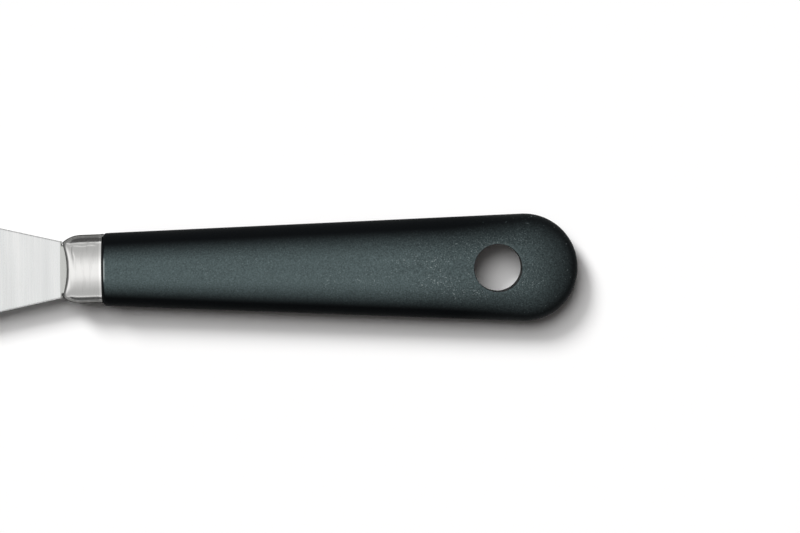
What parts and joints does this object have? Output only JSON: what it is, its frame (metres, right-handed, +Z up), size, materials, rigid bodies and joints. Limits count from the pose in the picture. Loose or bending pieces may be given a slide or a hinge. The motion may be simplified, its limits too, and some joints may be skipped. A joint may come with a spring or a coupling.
{
  "type": "pastry spatula",
  "caption": "Flat flared pastry spatula: brushed stainless blade, polished pressed ferrule and matte black moulded handle with a hanging hole.",
  "frame": {"origin": "middle of the object's box in X and Y, at the level of the handle's underside, on which the spatula lies", "axes": "+X from the blade's front edge to the butt of the handle, +Y across the blade, +Z up, square to the blade and along the hanging hole"},
  "size_m": [0.22, 0.0546, 0.011],
  "materials": {
    "blade_steel": "satin",
    "ferrule_steel": "polished",
    "handle_plastic": "matte"
  },
  "bodies": {
    "root": {"blade": "blade_steel", "ferrule": "ferrule_steel", "handle": "handle_plastic"}
  },
  "joints": []
}
